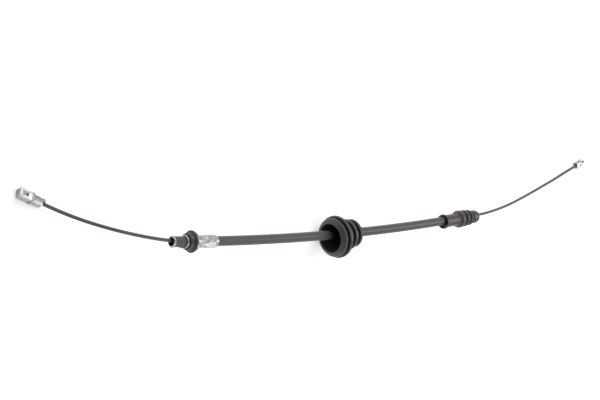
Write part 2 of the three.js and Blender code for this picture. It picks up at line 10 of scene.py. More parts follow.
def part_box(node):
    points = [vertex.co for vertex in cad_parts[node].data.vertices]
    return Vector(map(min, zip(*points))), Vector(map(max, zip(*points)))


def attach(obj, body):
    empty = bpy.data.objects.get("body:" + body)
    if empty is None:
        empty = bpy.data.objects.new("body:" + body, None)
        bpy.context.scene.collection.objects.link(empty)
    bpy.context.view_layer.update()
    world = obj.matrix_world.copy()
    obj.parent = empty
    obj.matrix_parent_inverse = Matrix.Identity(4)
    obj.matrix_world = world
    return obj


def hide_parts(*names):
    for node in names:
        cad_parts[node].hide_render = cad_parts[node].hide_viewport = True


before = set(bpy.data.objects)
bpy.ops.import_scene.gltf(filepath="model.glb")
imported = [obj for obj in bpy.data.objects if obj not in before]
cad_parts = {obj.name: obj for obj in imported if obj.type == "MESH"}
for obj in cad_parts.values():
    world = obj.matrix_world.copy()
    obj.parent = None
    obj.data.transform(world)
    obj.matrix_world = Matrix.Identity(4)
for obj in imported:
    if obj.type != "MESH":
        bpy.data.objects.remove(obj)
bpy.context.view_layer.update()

bl_info = {
    "name": "Parking Brake Cable",
    "version": (1, 0, 0),
    "blender": (4, 5, 0),
    "location": "3D View > Sidebar > Brake Cable",
    "description": "Builds the finished pieces of a parking brake cable around its packed solids",
    "category": "Object",
}

MM = 0.001

# Casing: its flat arc, and where that arc runs parallel to X, read from the jacket
ARC_RADIUS = 3.167
JACKET_FROM = -161.1 * MM
JACKET_TO = 192.3 * MM
JACKET_LOW, JACKET_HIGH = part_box("jacket")
JACKET_R = (JACKET_HIGH.z - JACKET_LOW.z) / 2
JACKET_BORE_R = 3.65 * MM
ORIGIN = Vector((
    JACKET_LOW.x - (ARC_RADIUS + JACKET_R) * math.sin(JACKET_FROM / ARC_RADIUS),
    JACKET_LOW.y + JACKET_R,
    (JACKET_LOW.z + JACKET_HIGH.z) / 2,
))
COAT_R = 1.55 * MM
COAT_BORE_R = 1.10 * MM
STRAND_R = 0.98 * MM

# Stations of the pieces along the casing's arc, and how far two of them hang off its axis
SPIGOT_AT = -191.5 * MM
SPIGOT_LIP = 1.2
SEAL_AT = -175.4 * MM
FLANGE_AT = -168.9 * MM
BOOT_MOUTH_AT = 1.2 * MM
BOOT_TAIL = 32.4
BOOT_YAW = math.radians(5.5)
SLEEVE_AT = 170.6 * MM
SLEEVE_DROP = 0.8 * MM

# The inner cable's free stretches: x, sideways place, share of the drop to the floor
WHEEL_END_ROUTE = (
    (-306.6, 42.6, 1.0),
    (-300.0, 39.6, 0.99),
    (-286.0, 33.5, 0.9),
    (-270.0, 27.1, 0.7),
    (-254.0, 21.5, 0.47),
    (-238.0, 16.6, 0.25),
    (-222.0, 12.5, 0.1),
    (-207.0, 9.3, 0.02),
    (-194.0, 7.1, 0),
    (-182.0, 5.62, 0),
)
LEVER_END_ROUTE = (
    (226.0, 8.05, 0),
    (240.0, 9.0, 0),
    (256.0, 11.0, 0.02),
    (275.0, 13.8, 0.11),
    (296.0, 17.4, 0.27),
    (318.0, 21.7, 0.48),
    (342.0, 26.8, 0.7),
    (368.0, 33.0, 0.88),
    (394.0, 40.2, 0.97),
    (418.0, 47.8, 1.0),
    (441.7, 55.5, 1.0),
)
ARC_STATIONS = (-170, -130, -90, -45, 0, 45, 90, 130, 170, 205)
COAT_TO_END = 2.6 * MM
STRAND_SEAT = 6.0 * MM
BLOCK_HEIGHT = 4.2725 * MM
FITTING_HEIGHT = 2.8 * MM

# Ferrule end, in millimetres, as are the boot and the sleeve below: radii, and stations from each front face
SPIGOT_R = 4.4
SPIGOT_BORE_R = 3.8
SPIGOT_LIP_R = 5.3
SPIGOT_LENGTH = 22.3
SPIGOT_ROLL = 0.4
BAND_R = 4.75
BAND_BORE_R = 4.55
BAND_FROM = 0.3
BAND_TO = 12.1
SPRING_RING_EDGE = 0.12
SEAL_BORE_R = 4.55
SEAL_STEP_R = 7.6
SEAL_STEP_LENGTH = 3.8
SEAL_DISC_R = 9.9
SEAL_LENGTH = 6.2
FLANGE_R = 8.7
FLANGE_LENGTH = 2.5
BODY_R = 5.8
BODY_END = 13.5
CRIMP_R = 6.55
CRIMP_END = 23.8
CRIMP_FLATS = 6
CRIMP_APOTHEM = 5.8
NECK_R = 5.5
NECK_END = 26.7
CASING_SEAT_R = 4.75
CASING_SEAT_AT = 7.5
CABLE_PASS_R = 3.6

# Boot: stations from its mouth to its tail
MOUTH_R = 14.0
LIP_R = 18.9
LIP_END = 5.6
LIP_GROOVE_R = 16.8
FLANGE_FROM = 7.7
FLANGE_TO = 11.2
BOOT_FLANGE_R = 20.5
DRUM_R = 14.6
DRUM_END = 17.6
RIDGE_GROOVE_R = 12.4
RIDGE_FROM = 20.8
RIDGE_R = 15.0
RIDGE_TO = 24.4
TAIL_GROOVE_R = 11.2
TAIL_RIDGE_FROM = 28.8
TAIL_RIDGE_R = 13.8
RIDGE_TILT = 0.2
BOOT_HOLE_R = 5.0
HUB_R = 5.9
HUB_BORE_R = 4.8
HUB_OVERLAP = 1.0
HUB_LENGTH = 9.6

# Sleeve: collar, body with two clip windows, one ring, two ribs and a nose
COLLAR_R = 7.6
COLLAR_BORE_R = 6.0
COLLAR_LENGTH = 2.0
COLLAR_DEPTH = 3.0
SLEEVE_R = 6.6
SLEEVE_RING_AT = 22.4
SLEEVE_BODY_STEP = 0.4
SLEEVE_GROOVE_R = 5.9
SLEEVE_SEAT_R = 4.75
SLEEVE_SEAT_END = 22.0
SLEEVE_HOLE_R = 2.6
SLEEVE_LENGTH = 55.0
NOSE_AT = 45.4
NOSE_R = 7.0
NOSE_TIP_R = 6.2
NOSE_TAPER = 3.0
WINDOW_FROM = SLEEVE_RING_AT - 5.8
WINDOW_TO = SLEEVE_RING_AT - 1.2
WINDOW_HALF_WIDTH = 1.3
WINDOW_DEPTH = 0.8
# Where each ring starts, where it is full, where it ends, its radius and its front fillet
SLEEVE_RINGS = ((22.4, 24.6, 28.0, 9.15, 0.6), (31.0, 32.8, 35.4, 8.8, 0.5), (38.4, 40.0, 42.4, 8.3, 0.5))

# Camera, in the part's own frame
CAMERA_AT = Vector((-0.9493, 0.0494, 0.8888))
CAMERA_TARGET = Vector((-0.0823, 0.0134, 0.0))
CAMERA_UP = Vector((0.0410, 0.9992, -0.0005))
CAMERA_LENS = 78.0
FLOOR_SIZE = 6.0
FLOOR_BELOW = 0.2 * MM
FLOOR_GLOW = 0.42
WORLD_LIGHT = 0.4
# Each lamp's name, place, size and power
LAMPS = (
    ("back", (0.3, 1.2, 1.0), 1.0, 12.0),
    ("front", (0.3, -1.2, 0.9), 1.0, 9.0),
    ("far", (1.3, 0.0, 1.0), 0.9, 8.0),
)

# Fineness of the meshes
ROUND = 96
FILLET_STEPS = 4
CABLE_STEP = 2.5 * MM
STRAND_STEP = 1.2 * MM
CASING_STEPS = 90
WIRE_SIDES = 6
WELD = 0.002 * MM
SHARP_EDGE = math.radians(32)


class CableFinish(bpy.types.PropertyGroup):
    """Colours of the cable's materials"""

    jacket: FloatVectorProperty(
        name="Casing sheath", description="Black plastic over the casing", subtype="COLOR",
        size=3, min=0, max=1, default=(0.060, 0.052, 0.053),
    )
    coat: FloatVectorProperty(
        name="Inner cable coat", description="Black plastic over the steel strand", subtype="COLOR",
        size=3, min=0, max=1, default=(0.062, 0.052, 0.049),
    )
    rubber: FloatVectorProperty(
        name="Rubber", description="Boot and seal ring", subtype="COLOR",
        size=3, min=0, max=1, default=(0.038, 0.034, 0.035),
    )
    plastic: FloatVectorProperty(
        name="Moulded plastic", description="End sleeve and spigot band", subtype="COLOR",
        size=3, min=0, max=1, default=(0.052, 0.044, 0.046),
    )
    zinc: FloatVectorProperty(
        name="Zinc plating", description="Ferrule, spigot and end pieces", subtype="COLOR",
        size=3, min=0, max=1, default=(0.50, 0.50, 0.49),
    )
    steel: FloatVectorProperty(
        name="Bare steel", description="Strand and armour wire", subtype="COLOR",
        size=3, min=0, max=1, default=(0.55, 0.54, 0.53),
    )
    liner: FloatVectorProperty(
        name="Liner", description="White low-friction plastic", subtype="COLOR",
        size=3, min=0, max=1, default=(0.80, 0.78, 0.72),
    )


class CableSizes(bpy.types.PropertyGroup):
    """Sizes that the solids leave open"""

    wires: IntProperty(
        name="Outer wires", description="Wires laid round the strand's core", min=5, max=8, default=6,
    )
    lay: FloatProperty(
        name="Lay length", description="Length of one turn of the strand's wires",
        unit="LENGTH", min=0.004, max=0.04, default=0.011,
    )
    edge: FloatProperty(
        name="Edge round", description="Radius on the sharp edges of the steel end pieces",
        unit="LENGTH", min=0.0, max=0.001, default=0.00022,
    )


# Node groups and materials
def new_group(name, inputs, outputs):
    group = bpy.data.node_groups.new(name, "ShaderNodeTree")
    for label, kind, default in inputs:
        socket = group.interface.new_socket(label, in_out="INPUT", socket_type=kind)
        socket.default_value = default
    for label, kind in outputs:
        group.interface.new_socket(label, in_out="OUTPUT", socket_type=kind)
    return group, group.nodes.new("NodeGroupInput"), group.nodes.new("NodeGroupOutput")


def math_node(tree, operation, a, b):
    node = tree.nodes.new("ShaderNodeMath")
    node.operation = operation
    for socket, value in zip(node.inputs, (a, b)):
        if isinstance(value, (int, float)):
            socket.default_value = value
        else:
            tree.links.new(value, socket)
    return node.outputs[0]


def noise(tree, vector, scale, detail=3.0):
    node = tree.nodes.new("ShaderNodeTexNoise")
    node.inputs["Scale"].default_value = scale
    node.inputs["Detail"].default_value = detail
    tree.links.new(vector, node.inputs["Vector"])
    return node.outputs["Fac"]


def mottle_group():
    """Cloudy change of colour and roughness over a surface, with fine grain as height"""
    found = bpy.data.node_groups.get("surface_mottle")
    if found:
        return found
    group, inside, out = new_group(
        "surface_mottle",
        (
            ("Colour", "NodeSocketColor", (0.5, 0.5, 0.5, 1.0)),
            ("Tint", "NodeSocketColor", (0.5, 0.5, 0.5, 1.0)),
            ("Cloud Scale", "NodeSocketFloat", 90.0),
            ("Grain Scale", "NodeSocketFloat", 2500.0),
            ("Roughness", "NodeSocketFloat", 0.5),
            ("Spread", "NodeSocketFloat", 0.15),
        ),
        (("Colour", "NodeSocketColor"), ("Roughness", "NodeSocketFloat"), ("Height", "NodeSocketFloat")),
    )
    place = group.nodes.new("ShaderNodeTexCoord").outputs["Object"]
    cloud = group.nodes.new("ShaderNodeTexNoise")
    grain = group.nodes.new("ShaderNodeTexNoise")
    cloud.inputs["Detail"].default_value = 4.0
    grain.inputs["Detail"].default_value = 2.0
    for node, label in ((cloud, "Cloud Scale"), (grain, "Grain Scale")):
        group.links.new(place, node.inputs["Vector"])
        group.links.new(inside.outputs[label], node.inputs["Scale"])
    mix = group.nodes.new("ShaderNodeMix")
    mix.data_type = "RGBA"
    group.links.new(cloud.outputs["Fac"], mix.inputs["Factor"])
    group.links.new(inside.outputs["Colour"], mix.inputs["A"])
    group.links.new(inside.outputs["Tint"], mix.inputs["B"])
    group.links.new(mix.outputs["Result"], out.inputs["Colour"])
    centred = math_node(group, "SUBTRACT", cloud.outputs["Fac"], 0.5)
    swing = math_node(group, "MULTIPLY", centred, inside.outputs["Spread"])
    rough = math_node(group, "ADD", swing, inside.outputs["Roughness"])
    group.links.new(rough, out.inputs["Roughness"])
    group.links.new(grain.outputs["Fac"], out.inputs["Height"])
    return group


def lines_group():
    """Fine drawn or extruded lines that run along X"""
    found = bpy.data.node_groups.get("drawn_lines")
    if found:
        return found
    group, inside, out = new_group(
        "drawn_lines",
        (("Across", "NodeSocketFloat", 3000.0), ("Along", "NodeSocketFloat", 30.0)),
        (("Height", "NodeSocketFloat"),),
    )
    place = group.nodes.new("ShaderNodeTexCoord").outputs["Object"]
    split = group.nodes.new("ShaderNodeSeparateXYZ")
    join = group.nodes.new("ShaderNodeCombineXYZ")
    group.links.new(place, split.inputs[0])
    group.links.new(math_node(group, "MULTIPLY", split.outputs["X"], inside.outputs["Along"]), join.inputs["X"])
    for axis in ("Y", "Z"):
        scaled = math_node(group, "MULTIPLY", split.outputs[axis], inside.outputs["Across"])
        group.links.new(scaled, join.inputs[axis])
    group.links.new(noise(group, join.outputs[0], 1.0, 2.0), out.inputs["Height"])
    return group


def painted_shade_group():
    """Painted shade: darkens a colour where other surfaces stand close around it"""
    found = bpy.data.node_groups.get("hollow_shade")
    if found:
        return found
    group, inside, out = new_group(
        "hollow_shade",
        (
            ("Colour", "NodeSocketColor", (0.5, 0.5, 0.5, 1.0)),
            ("Reach", "NodeSocketFloat", 12.0 * MM),
            ("Depth", "NodeSocketFloat", 1.0),
        ),
        (("Colour", "NodeSocketColor"),),
    )
    # Ambient occlusion scales the base colour down, which paints shade into crevices and recesses
    open_sky = group.nodes.new("ShaderNodeAmbientOcclusion")
    open_sky.samples = 8
    group.links.new(inside.outputs["Reach"], open_sky.inputs["Distance"])
    share = math_node(group, "POWER", open_sky.outputs["AO"], inside.outputs["Depth"])
    scale = group.nodes.new("ShaderNodeVectorMath")
    scale.operation = "SCALE"
    group.links.new(inside.outputs["Colour"], scale.inputs[0])
    group.links.new(share, scale.inputs["Scale"])
    group.links.new(scale.outputs[0], out.inputs["Colour"])
    return group


def placed(tree, group, values):
    node = tree.nodes.new("ShaderNodeGroup")
    node.node_tree = group
    for label, value in values.items():
        node.inputs[label].default_value = value
    return node


def new_material(name, colour, tint, roughness, spread, metallic=0.0, cloud=90.0, grain=2500.0,
                 bump=0.05, lines=None, hollow=(12.0, 1.0)):
    """Mottled material with painted shade in its hollows; lines are per metre across and along X, hollow is a reach
    in millimetres and a depth of that painted shade
    """
    material = bpy.data.materials.new(name)
    material.use_nodes = True
    tree = material.node_tree
    shader = tree.nodes["Principled BSDF"]
    shader.inputs["Metallic"].default_value = metallic
    mottle = placed(tree, mottle_group(), {
        "Colour": (*colour, 1.0),
        "Tint": (*[min(1.0, c * t) for c, t in zip(colour, tint)], 1.0),
        "Cloud Scale": cloud,
        "Grain Scale": grain,
        "Roughness": roughness,
        "Spread": spread,
    })
    # Painted shade: the mottled colour is darkened where other surfaces stand close
    shade = placed(tree, painted_shade_group(), {"Reach": hollow[0] * MM, "Depth": hollow[1]})
    tree.links.new(mottle.outputs["Colour"], shade.inputs["Colour"])
    tree.links.new(shade.outputs["Colour"], shader.inputs["Base Color"])
    tree.links.new(mottle.outputs["Roughness"], shader.inputs["Roughness"])
    height = mottle.outputs["Height"]
    if lines:
        drawn = placed(tree, lines_group(), {"Across": lines[0], "Along": lines[1]})
        height = math_node(tree, "ADD", height, drawn.outputs["Height"])
    relief = tree.nodes.new("ShaderNodeBump")
    relief.inputs["Strength"].default_value = bump
    relief.inputs["Distance"].default_value = 0.05 * MM
    tree.links.new(height, relief.inputs["Height"])
    tree.links.new(relief.outputs["Normal"], shader.inputs["Normal"])
    return material


def finish_material(slot):
    """The material of one slot, made on first use"""
    name = "finish_" + slot
    found = bpy.data.materials.get(name)
    if found:
        return found
    colour = tuple(getattr(bpy.context.scene.cable_finish, slot))
    makers = {
        # The sheath's deep painted shade darkens it inside the boot's mouth, where it stands in for shadow
        "jacket": lambda: new_material(
            name, colour, (1.5, 1.3, 1.3), 0.42, 0.2, lines=(2600.0, 25.0), bump=0.35, hollow=(30.0, 2.5)),
        "coat": lambda: new_material(
            name, colour, (1.4, 1.35, 1.3), 0.36, 0.15, lines=(4200.0, 40.0), bump=0.25),
        "rubber": lambda: new_material(
            name, colour, (1.6, 1.6, 1.6), 0.42, 0.25, cloud=60.0, grain=3000.0, bump=0.5),
        "plastic": lambda: new_material(
            name, colour, (1.45, 1.35, 1.35), 0.42, 0.2, grain=4000.0, bump=0.3),
        # Painted shade darkens the zinc at its edges and on faces near the floor, dimming the floor's reflection in
        # it
        "zinc": lambda: new_material(
            name, colour, (0.82, 0.84, 0.78), 0.3, 0.3, metallic=1.0, cloud=260.0, grain=2200.0, bump=0.35,
            hollow=(12.0, 1.3)),
        "steel": lambda: new_material(
            name, colour, (0.7, 0.7, 0.7), 0.34, 0.2, metallic=1.0, cloud=400.0, bump=0.2),
        "liner": lambda: new_material(name, colour, (0.95, 0.94, 0.9), 0.45, 0.1, bump=0.1),
    }
    return makers[slot]()


# Mesh tools
def arc_point(station):
    angle = station / ARC_RADIUS
    return ORIGIN + Vector((ARC_RADIUS * math.sin(angle), ARC_RADIUS * (1 - math.cos(angle)), 0))


def on_casing(station):
    """The frame of a piece on the casing, with X along the arc"""
    return Matrix.Translation(arc_point(station)) @ Matrix.Rotation(station / ARC_RADIUS, 4, "Z")


def new_piece(name, mesh, body, slot, *replaced):
    """An object that rides on a body and stands for the solids that it replaces"""
    piece = bpy.data.objects.new(name, mesh)
    bpy.context.scene.collection.objects.link(piece)
    mesh.materials.clear()
    mesh.materials.append(finish_material(slot))
    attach(piece, body)
    if replaced:
        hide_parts(*replaced)
    return piece


def smooth(mesh, sharp_angle=50.0):
    for face in mesh.polygons:
        face.use_smooth = True
    mesh.set_sharp_from_angle(angle=math.radians(sharp_angle))


def grid_mesh(name, rings, close_ends=False):
    """A closed skin over equal rings of points; the rings close on themselves unless the ends are capped"""
    count, size = len(rings), len(rings[0])
    points = [p for ring in rings for p in ring]
    last = count - 1 if close_ends else count
    faces = []
    for i in range(last):
        here, there = i * size, (i + 1) % count * size
        for j in range(size):
            k = (j + 1) % size
            faces.append((here + j, here + k, there + k, there + j))
    if close_ends:
        faces.append(tuple(reversed(range(size))))
        faces.append(tuple(range((count - 1) * size, count * size)))
    mesh = bpy.data.meshes.new(name)
    mesh.from_pydata(points, [], faces)
    build = bmesh.new()
    build.from_mesh(mesh)
    bmesh.ops.recalc_face_normals(build, faces=build.faces)
    build.to_mesh(mesh)
    build.free()
    return mesh


def filleted(corners):
    """Turns [x, r, fillet] corners of a closed outline into points, with each fillet an arc"""
    points = []
    count = len(corners)
    for i, (x, r, size) in enumerate(corners):
        here = Vector((x, r))
        before = Vector(corners[i - 1][:2]) - here
        after = Vector(corners[(i + 1) % count][:2]) - here
        reach = min(size, before.length * 0.45, after.length * 0.45)
        if reach <= 1e-7:
            points.append(here)
            continue
        start, end = here + before.normalized() * reach, here + after.normalized() * reach
        for step in range(FILLET_STEPS + 1):
            t = step / FILLET_STEPS
            points.append(start * (1 - t) ** 2 + here * (2 * t * (1 - t)) + end * t ** 2)
    return points


def turned(name, corners, place, shape=None, aside=None, segments=ROUND):
    """A ring turned about X from [x, r, fillet] corners in millimetres, then placed by a matrix"""
    outline = filleted([(x * MM, r * MM, f * MM) for x, r, f in corners])
    rings = []
    for k in range(segments):
        angle = 2 * math.pi * k / segments
        ring = []
        for x, r in outline:
            radius = shape(x, r, angle) if shape else r
            shift = aside(r) if aside else 0.0
            ring.append(place @ Vector((x, radius * math.cos(angle) + shift, radius * math.sin(angle))))
        rings.append(ring)
    mesh = grid_mesh(name, rings)
    smooth(mesh, 40.0)
    return mesh


def centripetal(points, step):
    """Centripetal Catmull-Rom curve through the points, as points about a step apart"""
    ends = [2 * points[0] - points[1]] + list(points) + [2 * points[-1] - points[-2]]
    out = []
    for i in range(len(points) - 1):
        p0, p1, p2, p3 = ends[i:i + 4]
        t1 = (p1 - p0).length ** 0.5
        t2 = t1 + (p2 - p1).length ** 0.5
        t3 = t2 + (p3 - p2).length ** 0.5
        count = max(2, math.ceil((p2 - p1).length / step))
        for k in range(count):
            t = t1 + (t2 - t1) * k / count
            a1 = p0 * ((t1 - t) / t1) + p1 * (t / t1)
            a2 = p1 * ((t2 - t) / (t2 - t1)) + p2 * ((t - t1) / (t2 - t1))
            a3 = p2 * ((t3 - t) / (t3 - t2)) + p3 * ((t - t2) / (t3 - t2))
            b1 = a1 * ((t2 - t) / t2) + a2 * (t / t2)
            b2 = a2 * ((t3 - t) / (t3 - t1)) + a3 * ((t - t1) / (t3 - t1))
            out.append(b1 * ((t2 - t) / (t2 - t1)) + b2 * ((t - t1) / (t2 - t1)))
    out.append(points[-1].copy())
    return out


def frames_along(path):
    """A direction and two cross directions at each point, carried along without twist"""
    rows = []
    side = None
    for i, point in enumerate(path):
        ahead = (path[min(i + 1, len(path) - 1)] - path[max(i - 1, 0)]).normalized()
        if side is None:
            side = ahead.cross(Vector((0, 0, 1))).normalized()
        side = (side - ahead * side.dot(ahead)).normalized()
        rows.append((point, side, ahead.cross(side)))
    return rows


def hose(name, path, r, bore_r, segments):
    """A hollow tube along a path, closed by a flat ring at each end"""
    rings = []
    rows = frames_along(path)
    for radius, order in ((r, rows), (bore_r, rows[::-1])):
        for point, side, up in order:
            ring = []
            for k in range(segments):
                angle = 2 * math.pi * k / segments
                ring.append(point + side * (radius * math.cos(angle)) + up * (radius * math.sin(angle)))
            rings.append(ring)
    mesh = grid_mesh(name, rings)
    smooth(mesh)
    return mesh


def joined(name, meshes):
    build = bmesh.new()
    for mesh in meshes:
        build.from_mesh(mesh)
        bpy.data.meshes.remove(mesh)
    mesh = bpy.data.meshes.new(name)
    build.to_mesh(mesh)
    build.free()
    smooth(mesh)
    return mesh


def softened(name, node, edge):
    """A copy of a node's own mesh with its sharp edges rounded"""
    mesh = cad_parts[node].data.copy()
    mesh.name = name
    build = bmesh.new()
    build.from_mesh(mesh)
    bmesh.ops.remove_doubles(build, verts=build.verts, dist=WELD)
    bmesh.ops.dissolve_limit(build, angle_limit=math.radians(1.0), verts=build.verts, edges=build.edges)
    sharp = [e for e in build.edges if len(e.link_faces) == 2 and e.calc_face_angle(0) > SHARP_EDGE]
    bmesh.ops.bevel(
        build, geom=sharp, offset=edge, offset_type="OFFSET", segments=3, profile=0.5,
        affect="EDGES", clamp_overlap=True,
    )
    bmesh.ops.triangulate(build, faces=build.faces)
    build.to_mesh(mesh)
    build.free()
    smooth(mesh, 35.0)
    return mesh


def route(stretch, end_height):
    return [
        Vector((ORIGIN.x + x * MM, ORIGIN.y + y * MM, ORIGIN.z + (end_height - ORIGIN.z) * drop))
        for x, y, drop in stretch
    ]


WHEEL_POINTS = route(WHEEL_END_ROUTE, BLOCK_HEIGHT)
LEVER_POINTS = route(LEVER_END_ROUTE, FITTING_HEIGHT)
CABLE_POINTS = WHEEL_POINTS + [arc_point(s * MM) for s in ARC_STATIONS] + LEVER_POINTS


def beyond(last, before, distance):
    """A point past the last one, level with it"""
    out = last - before
    out.z = 0
    return last + out.normalized() * distance


# Operators
class CABLE_OT_stage(bpy.types.Operator):
    """Camera at the photograph's angle, white floor, world and soft lamps"""

    bl_idname = "cable.stage"
    bl_label = "Stage"

    def execute(self, context):
        self.camera(context)
        self.floor(context)
        self.world(context)
        self.lamps(context)
        context.scene.view_settings.view_transform = "Standard"
        return {"FINISHED"}

    def camera(self, context):
        data = bpy.data.cameras.new("camera")
        data.lens = CAMERA_LENS
        data.clip_end = 20.0
        camera = bpy.data.objects.new("camera", data)
        back = (CAMERA_AT - CAMERA_TARGET).normalized()
        right = CAMERA_UP.cross(back).normalized()
        up = back.cross(right)
        turn = Matrix((right, up, back)).transposed().to_4x4()
        camera.matrix_world = Matrix.Translation(CAMERA_AT) @ turn
        context.scene.collection.objects.link(camera)
        context.scene.camera = camera

    def floor(self, context):
        half = FLOOR_SIZE / 2
        corners = [(-half, -half, 0), (half, -half, 0), (half, half, 0), (-half, half, 0)]
        mesh = bpy.data.meshes.new("floor")
        mesh.from_pydata(corners, [], [(0, 1, 2, 3)])
        floor = bpy.data.objects.new("floor", mesh)
        floor.location.z = -FLOOR_BELOW
        context.scene.collection.objects.link(floor)
        mesh.materials.append(self.floor_material())

    def floor_material(self):
        material = bpy.data.materials.new("floor_white")
        material.use_nodes = True
        tree = material.node_tree
        shader = tree.nodes["Principled BSDF"]
        shader.inputs["Base Color"].default_value = (0.9, 0.9, 0.9, 1.0)
        shader.inputs["Roughness"].default_value = 0.9
        shader.inputs["Specular IOR Level"].default_value = 0.0
        rays = tree.nodes.new("ShaderNodeLightPath")
        seen = math_node(tree, "MAXIMUM", rays.outputs["Is Camera Ray"], rays.outputs["Is Glossy Ray"])
        seen = math_node(tree, "MAXIMUM", seen, rays.outputs["Is Transmission Ray"])
        strength = math_node(tree, "MULTIPLY", seen, FLOOR_GLOW)
        shader.inputs["Emission Color"].default_value = (1.0, 1.0, 1.0, 1.0)
        tree.links.new(strength, shader.inputs["Emission Strength"])
        return material

    def world(self, context):
        world = bpy.data.worlds.new("studio")
        world.use_nodes = True
        tree = world.node_tree
        light = tree.nodes["Background"]
        light.inputs["Color"].default_value = (1.0, 1.0, 1.0, 1.0)
        rays = tree.nodes.new("ShaderNodeLightPath")
        extra = math_node(tree, "MULTIPLY", rays.outputs["Is Camera Ray"], 1 - WORLD_LIGHT)
        tree.links.new(math_node(tree, "ADD", extra, WORLD_LIGHT), light.inputs["Strength"])
        context.scene.world = world

    def lamps(self, context):
        for name, place, size, power in LAMPS:
            data = bpy.data.lights.new(name, "AREA")
            data.size = size
            data.energy = power
            lamp = bpy.data.objects.new(name, data)
            lamp.location = place
            lamp.rotation_euler = (-Vector(place)).to_track_quat("-Z", "Y").to_euler()
            context.scene.collection.objects.link(lamp)


class CABLE_OT_inner_cable(bpy.types.Operator):
    """Coated steel strand with its end block and end fitting"""

    bl_idname = "cable.inner_cable"
    bl_label = "Inner Cable"

    def execute(self, context):
        sizes = context.scene.cable_sizes
        path = centripetal(CABLE_POINTS, CABLE_STEP)
        tube = hose("coated_cable", path, COAT_R, COAT_BORE_R, 28)
        coat = new_piece("coated_cable", tube, "inner_cable", "coat", "cable_coat")
        block = softened("lever_block", "end_block", sizes.edge)
        new_piece("lever_block", block, "inner_cable", "zinc", "end_block")
        eye = softened("eye_fitting", "end_fitting", sizes.edge)
        fitting = new_piece("eye_fitting", eye, "inner_cable", "zinc", "end_fitting")
        new_piece("laid_strand", self.strand(sizes), "inner_cable", "steel", "cable_strand")
        return {"FINISHED"}

    def strand(self, sizes):
        """A core wire with others laid round it in a long helix"""
        first = beyond(WHEEL_POINTS[0], WHEEL_POINTS[1], COAT_TO_END + STRAND_SEAT)
        last = beyond(LEVER_POINTS[-1], LEVER_POINTS[-2], COAT_TO_END + STRAND_SEAT)
        rows = frames_along(centripetal([first] + CABLE_POINTS + [last], STRAND_STEP))
        wire_r = STRAND_R / 3
        lengths = [0.0]
        for a, b in zip(rows, rows[1:]):
            lengths.append(lengths[-1] + (b[0] - a[0]).length)
        wires = []
        for number in range(sizes.wires + 1):
            offset = 0.0 if number == 0 else 2 * wire_r
            centre = []
            for (point, side, up), s in zip(rows, lengths):
                turn = 2 * math.pi * (s / sizes.lay + number / sizes.wires)
                centre.append((point + side * (offset * math.cos(turn)) + up * (offset * math.sin(turn)), side, up))
            rings = []
            for point, side, up in centre:
                ring = []
                for k in range(WIRE_SIDES):
                    angle = 2 * math.pi * k / WIRE_SIDES
                    ring.append(point + side * (wire_r * math.cos(angle)) + up * (wire_r * math.sin(angle)))
                rings.append(ring)
            wires.append(grid_mesh("wire", rings, close_ends=True))
        return joined("laid_strand", wires)


class CABLE_OT_casing(bpy.types.Operator):
    """Plastic sheath of the casing, over its steel armour and white liner"""

    bl_idname = "cable.casing"
    bl_label = "Casing"

    def execute(self, context):
        length = JACKET_TO - JACKET_FROM
        path = [arc_point(JACKET_FROM + length * i / CASING_STEPS) for i in range(CASING_STEPS + 1)]
        tube = hose("casing_sheath", path, JACKET_R, JACKET_BORE_R, 64)
        sheath = new_piece("casing_sheath", tube, "casing", "jacket", "jacket")
        for node, slot in (("armour_coil", "steel"), ("liner", "liner")):
            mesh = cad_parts[node].data
            mesh.materials.clear()
            mesh.materials.append(finish_material(slot))
        return {"FINISHED"}


